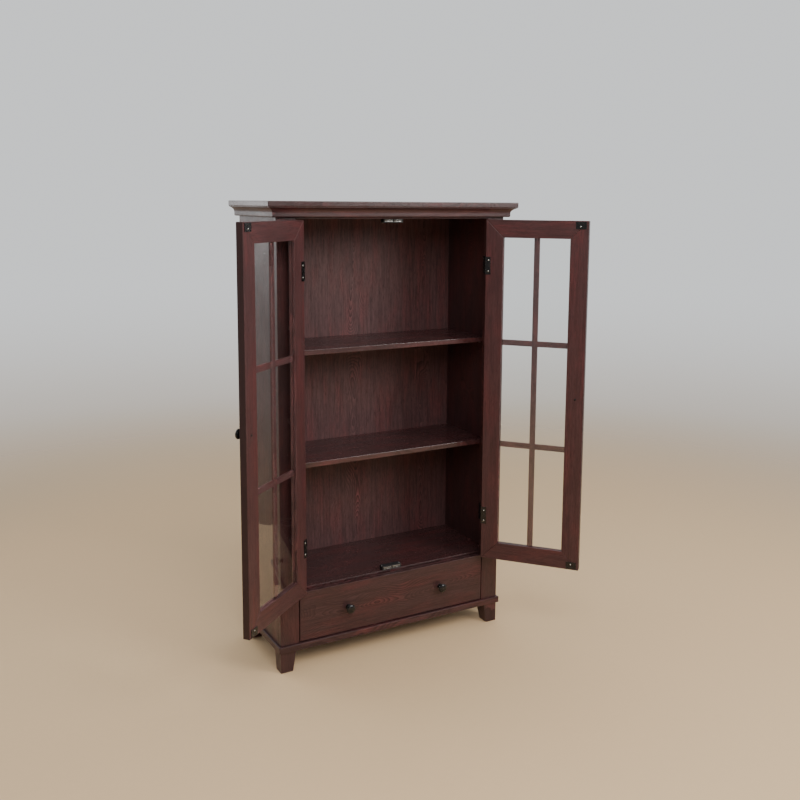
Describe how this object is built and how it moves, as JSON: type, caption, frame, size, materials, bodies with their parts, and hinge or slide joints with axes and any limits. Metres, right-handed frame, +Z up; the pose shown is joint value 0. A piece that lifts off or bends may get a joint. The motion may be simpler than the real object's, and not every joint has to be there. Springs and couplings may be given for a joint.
{
  "type": "glazed display bookcase",
  "caption": "Glazed display bookcase with a moulded cornice, mitred glass doors over shelves, a full-width base drawer with round knobs, and tapered feet.",
  "frame": {"origin": "on the floor, under the centre of the box of the model at rest (doors open as pictured, drawer shut)", "axes": "+Z up, +Y towards the back, +X to the right as seen from the front"},
  "size_m": [1.104, 0.5634, 1.385],
  "materials": {
    "mahogany_foil": "satin wood-grain foil, dark red-brown",
    "mahogany_back": "matt wood-grain foil on hardboard",
    "mahogany_door": "satin wood-grain foil, dark red-brown",
    "drawer_board": "matt foil, dark brown",
    "clear_glass": "clear flat glass",
    "black_iron": "black, satin",
    "black_plastic": "black moulded plastic",
    "bright_steel": "bright zinc-plated steel"
  },
  "bodies": {
    "cabinet": {"side_panel_left": "mahogany_foil", "side_panel_right": "mahogany_foil", "front_stile_left": "mahogany_foil", "front_stile_right": "mahogany_foil", "top_rail": "mahogany_foil", "top_panel": "mahogany_foil", "top_slab": "mahogany_foil", "cornice_front": "mahogany_foil", "cornice_left": "mahogany_foil", "cornice_right": "mahogany_foil", "cabinet_floor": "mahogany_foil", "base_board": "mahogany_foil", "foot_front_left": "mahogany_foil", "foot_front_right": "mahogany_foil", "foot_back_left": "mahogany_foil", "foot_back_right": "mahogany_foil", "lower_shelf": "mahogany_foil", "upper_shelf": "mahogany_foil", "back_panel": "mahogany_back", "frame_hinge_leaf_left_upper": "black_iron", "frame_hinge_leaf_left_lower": "black_iron", "frame_hinge_leaf_right_upper": "black_iron", "frame_hinge_leaf_right_lower": "black_iron", "catch_upper": "black_plastic", "catch_lower": "black_plastic", "shelf_pin_left_front": "bright_steel", "shelf_pin_left_back": "bright_steel", "shelf_pin_right_front": "bright_steel", "shelf_pin_right_back": "bright_steel", "drawer_runner_left": "drawer_board", "drawer_runner_right": "drawer_board"},
    "left_door": {"left_hinge_stile": "mahogany_door", "left_meeting_stile": "mahogany_door", "left_top_rail": "mahogany_door", "left_bottom_rail": "mahogany_door", "left_glazing_bars": "mahogany_door", "left_glass": "clear_glass", "left_door_knob": "black_iron", "left_hinge_leaf_upper": "black_iron", "left_hinge_leaf_lower": "black_iron", "left_strike_upper": "black_iron", "left_strike_lower": "black_iron"},
    "right_door": {"right_hinge_stile": "mahogany_door", "right_meeting_stile": "mahogany_door", "right_top_rail": "mahogany_door", "right_bottom_rail": "mahogany_door", "right_glazing_bars": "mahogany_door", "right_glass": "clear_glass", "right_door_knob": "black_iron", "right_hinge_leaf_upper": "black_iron", "right_hinge_leaf_lower": "black_iron", "right_strike_upper": "black_iron", "right_strike_lower": "black_iron"},
    "drawer": {"drawer_front": "mahogany_foil", "drawer_side_left": "drawer_board", "drawer_side_right": "drawer_board", "drawer_back": "drawer_board", "drawer_bottom": "drawer_board", "drawer_knob_left": "black_iron", "drawer_knob_right": "black_iron"}
  },
  "joints": [
    {"name": "left_door_hinge", "type": "hinge", "parent": "cabinet", "child": "left_door", "pos_m": [-0.30201, -0.0218, 0.7865], "axis": [0, 0, -1], "range_deg": [-141, 34]},
    {"name": "right_door_hinge", "type": "hinge", "parent": "cabinet", "child": "right_door", "pos_m": [0.34079, -0.0218, 0.7865], "axis": [0, 0, 1], "range_deg": [-130, 45]},
    {"name": "drawer_slide", "type": "slide", "parent": "cabinet", "child": "drawer", "axis": [0, -1, 0], "range_m": [0, 0.22]}
  ]
}
